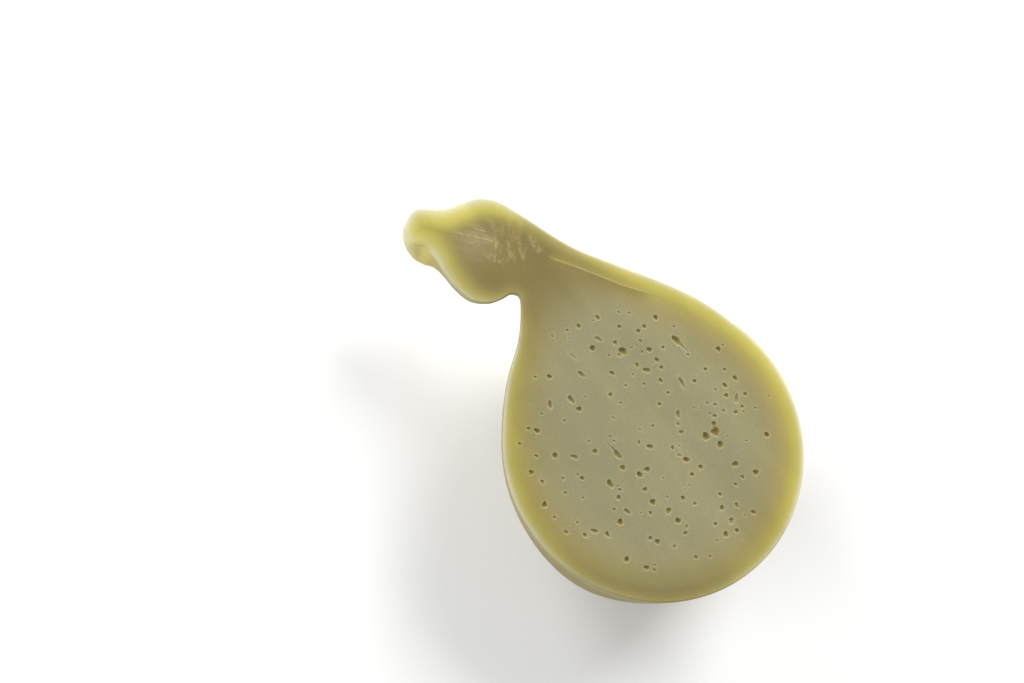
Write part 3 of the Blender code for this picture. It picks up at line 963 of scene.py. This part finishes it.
def new_group(name, inputs, outputs):
    """A group with numbers in, each with its start, and numbers out: its maker and its two ends."""
    group = bpy.data.node_groups.new(name, "ShaderNodeTree")
    for socket, start in inputs.items():
        made = group.interface.new_socket(socket, in_out="INPUT", socket_type="NodeSocketFloat")
        made.default_value = start
    for socket in outputs:
        group.interface.new_socket(socket, in_out="OUTPUT", socket_type="NodeSocketFloat")
    return Maker(group), group.nodes.new("NodeGroupInput").outputs, group.nodes.new("NodeGroupOutput")


def make_mottle_group():
    """Uneven tone, about 0.5, drawn out along the stretched curd, its fine grain, and a height."""
    scales = {"Patch Scale": 40.0, "Grain Scale": 900.0}
    make, given, out = new_group("curd_mottle", scales, ("Tone", "Grain", "Height"))
    place = make.place()
    turn = (0.0, 0.0, math.radians(CURD_DIRECTION))
    drawn = make.node("Mapping", {"Vector": place, "Rotation": turn, "Scale": CURD_STRETCH})
    patches = make.noise(drawn.outputs["Vector"], given["Patch Scale"], 4.0)["Fac"]
    grain = make.noise(place, given["Grain Scale"], 3.0)["Fac"]
    tone_sum = make.maths("ADD", make.times(patches, 1 - GRAIN_IN_TONE), make.times(grain, GRAIN_IN_TONE))
    height = make.maths("ADD", patches, make.times(grain, GRAIN_IN_HEIGHT))
    make.feed(out, {"Tone": tone_sum, "Grain": grain, "Height": height})
    return make.tree


def make_speck_group():
    """Small specks and pits: a mask of each."""
    make, given, out = new_group("specks_and_pits", {"Scale": 300.0}, ("Specks", "Pits"))
    place = make.place()
    wobble = make.noise(place, SPOT_WOBBLE_SCALE)["Color"]
    nudge = make.node("VectorMath", {0: wobble, "Scale": SPOT_WOBBLE * MM}, operation="SCALE")
    shaken = make.node("VectorMath", {0: place, 1: nudge.outputs["Vector"]}, operation="ADD")
    for output, share, size, core in SPOTS:
        scale = make.times(given["Scale"], share)
        cells = make.node("TexVoronoi", {"Vector": shaken.outputs["Vector"], "Scale": scale}).outputs
        spot = make.span(cells["Distance"], size, core)
        dice = make.node("SeparateColor", {0: cells["Color"]}).outputs[0]
        make.feed(out, {output: make.times(spot, make.span(dice, *SPOTS_KEPT))})
    return make.tree


def new_material(name, constants):
    """A material, its maker and its shader, set to what is the same all over the surface."""
    material = bpy.data.materials.new(name)
    material.use_nodes = True
    make, shader = Maker(material.node_tree), material.node_tree.nodes["Principled BSDF"]
    make.feed(shader, constants)
    return material, make, shader


def paste_material(mottle):
    """The cut paste: yellow curd along the rim with painted light and shade on it, khaki core, brown dense
    neck and dark eyes.
    """
    material, make, shader = new_material("cut_paste", PASTE_SHINE)
    from_edge = make.maths("DIVIDE", make.zone("ripe_depth"), RAMP_LENGTH)
    shimmer = make.group(mottle, {"Patch Scale": 38.0, "Grain Scale": 1000.0})
    uneven = make.times(make.maths("SUBTRACT", shimmer["Tone"], 0.5), RIM_WANDER)
    depth_in = make.maths("ADD", from_edge, make.times(uneven, make.span(from_edge, 0.05, 0.25)))
    distances, *ramps = zip(*RIM_COLOURS)
    places = [distance / RAMP_LENGTH for distance in distances]
    ripe_and_lit_rim, dull_and_shaded_rim = (make.ramp(depth_in, zip(places, (tone(*colour) for colour in ramp))) for ramp in ramps)
    # painted light and shade on the rim's curd: the lit tones where it shines, the shaded ones where it is
    # dull
    colour = make.blend(make.zone("rim_ripeness_and_light"), dull_and_shaded_rim, ripe_and_lit_rim)
    inner = make.span(from_edge, 2.5 / RAMP_LENGTH, 10.0 / RAMP_LENGTH)
    colour = make.paint(colour, make.zone("dense"), inner, DENSE_PASTE)
    colour = make.paint(colour, make.zone("head_pale"), inner, HEAD_PASTE)
    for zone, most, over in PASTE_MARKS:
        colour = make.paint(colour, make.zone(zone), most, over)
    scratch, torn, drawn = (make.times(make.zone(zone), make.streaks(*noise)) for zone, *noise in WORN_PASTE)
    worn = make.maths("MAXIMUM", scratch, make.times(make.maths("MAXIMUM", torn, drawn), PATCHES_WORN))
    colour = make.paint(colour, worn, SMEARS_SHOWN, SMEAR_PALE)
    # a pale ring painted round each eye's raised lip
    colour = make.paint(colour, make.zone("eye_rim"), EYE_RIMS_SHOWN, EYE_RIM_PALE)
    colour = make.paint(colour, make.zone("eye_shade"), 1.0, EYE_DARK)

    brightness = make.span(shimmer["Tone"], *TONE_SPAN, 0.90, 1.10)
    # painted light, lifting the shade where the lip's lower edge turns down
    brightness = make.maths("ADD", brightness, make.times(make.zone("edge_turn"), EDGE_SHADE_LIFT))
    core = make.span(from_edge, 5.0 / RAMP_LENGTH, 13.0 / RAMP_LENGTH)
    core = make.times(core, make.span(make.zone("dense"), 0.1, 0.8, 1.0, 0.35))
    grain = make.times(make.maths("SUBTRACT", shimmer["Grain"], 0.5), CORE_GRAIN)
    brightness = make.maths("ADD", brightness, make.times(grain, core))
    level = make.node("CombineColor", {0: brightness, 1: brightness, 2: brightness}).outputs[0]
    height = make.maths("ADD", shimmer["Height"], make.times(worn, 1.5))
    make.feed(shader, {
        "Base Color": make.blend(1.0, colour, level, "MULTIPLY"),
        "Normal": make.bump(0.35, 0.2 * MM, height),
        "Roughness": make.span(shimmer["Tone"], *TONE_SPAN, 0.44, 0.60),
    })
    return material


def rind_material(mottle, specks):
    """The dried rind: beige, deeper in patches, with whitish specks and pits, whiter on the head."""
    material, make, shader = new_material("dried_rind", RIND_SHINE)
    shimmer = make.group(mottle, {"Patch Scale": 14.0, "Grain Scale": 700.0})
    spots = make.group(specks, {"Scale": 320.0})
    along, around = make.zone("along_back"), make.zone("round_back")
    colour = make.blend(make.span(shimmer["Tone"], 0.34, 0.66), tone(*RIND_DEEP), tone(*RIND))
    colour = make.paint(colour, make.span(along, *HEAD_PLACES), 0.85, HEAD_RIND)
    colour = make.paint(colour, spots["Specks"], 0.5, RIND_PALE)
    colour = make.paint(colour, spots["Pits"], 0.4, RIND_DEEP)

    # painted shade on the lower flank, fading towards the bulb's far end, and the rind's deeper tint by the
    # upper cut edge
    below = make.times(make.span(around, 0.82, 0.94), make.span(around, 0.96, 1.0, 1.0, 0.4))
    below = make.times(below, make.span(along, *FAR_END_PLACES))
    cut_tint_and_shade = make.maths("MAXIMUM", below, make.span(around, 0.06, 0.0))
    colour = make.paint(colour, cut_tint_and_shade, 0.88, RIND_BY_CUT_AND_SHADE)
    # painted shade on the head's lower flank
    colour = make.paint(colour, make.span(along, *FLANK_PLACES), make.span(around, 0.80, 0.95), HEAD_FLANK_SHADE)
    # the lip's flank: curd lightened with painted light against the shade, and a painted highlight towards
    # its end
    curd = make.times(make.span(around, 0.55, 0.80), make.span(along, 13.0, 15.5, 1.0, 0.35))
    lip_colour = make.blend(curd, tone(*LIP_PALE_AND_HIGHLIGHT), tone(*LIP_CURD_SHADE_LIFTED))
    lip_share = make.times(make.span(along, *LIP_PLACES), make.span(around, 0.2, 0.6, 0.6, 1.0))
    height = make.maths("SUBTRACT", shimmer["Height"], spots["Pits"])
    make.feed(shader, {
        "Base Color": make.blend(lip_share, colour, lip_colour),
        "Normal": make.bump(0.4, 0.3 * MM, height),
        "Roughness": make.span(shimmer["Tone"], *TONE_SPAN, 0.42, 0.62),
    })
    return material


# ==== the studio

def make_floor():
    half = FLOOR_HALF * MM
    data = bpy.data.meshes.new("studio_floor")
    corners = [(-half, -half, 0), (half, -half, 0), (half, half, 0), (-half, half, 0)]
    data.from_pydata(corners, [], [(0, 1, 2, 3)])
    floor = add_object("studio_floor", data)
    material, make, shader = new_material("white_floor", {"Roughness": 0.7, "Specular IOR Level": 0.2})
    paper = make.noise(make.place(), 3.0)["Fac"]
    make.feed(shader, {"Base Color": make.ramp(paper, [(0.0, FLOOR_WHITE), (1.0, FLOOR_WARM)])})
    data.materials.append(material)


def make_lights():
    """Soft lights that face the cheese, and a world that is white to the eye but lights it more faintly."""
    for name, place, size, power in LIGHTS:
        data = bpy.data.lights.new(name, "AREA")
        data.shape = "SQUARE"
        data.size = size * MM
        data.energy = power
        light = add_object(name, data)
        light.location = Vector(place) * MM
        light.rotation_euler = (-light.location).to_track_quat("-Z", "Y").to_euler()
    world = bpy.data.worlds.new("studio")
    world.use_nodes = True
    make = Maker(world.node_tree)
    seen = make.node("LightPath").outputs["Is Camera Ray"]
    strength = make.span(seen, 0.0, 1.0, WORLD_LIGHT, WORLD_SEEN)
    make.feed(world.node_tree.nodes["Background"], {"Color": (1.0, 1.0, 1.0, 1.0), "Strength": strength})
    bpy.context.scene.world = world


def make_camera():
    back = CAMERA_DIRECTION.normalized()
    right = (PICTURE_RIGHT - back * PICTURE_RIGHT.dot(back)).normalized()
    up = back.cross(right)
    data = bpy.data.cameras.new("camera")
    data.lens = LENS
    data.sensor_width = SENSOR
    camera = add_object("camera", data)
    turn = Matrix((right, up, back)).transposed().to_4x4()
    target = Vector(bulb_middle()) + CAMERA_TARGET * MM
    camera.matrix_world = Matrix.Translation(target + back * CAMERA_DISTANCE * MM) @ turn
    bpy.context.scene.camera = camera


def main():
    mottle, specks = make_mottle_group(), make_speck_group()
    cheese = build_cheese(paste_material(mottle), rind_material(mottle, specks))
    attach(cheese, "root")
    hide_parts(NODE)
    make_floor()
    make_lights()
    make_camera()
    view = bpy.context.scene.view_settings
    view.view_transform = "Standard"
    view.look = "None"


main()
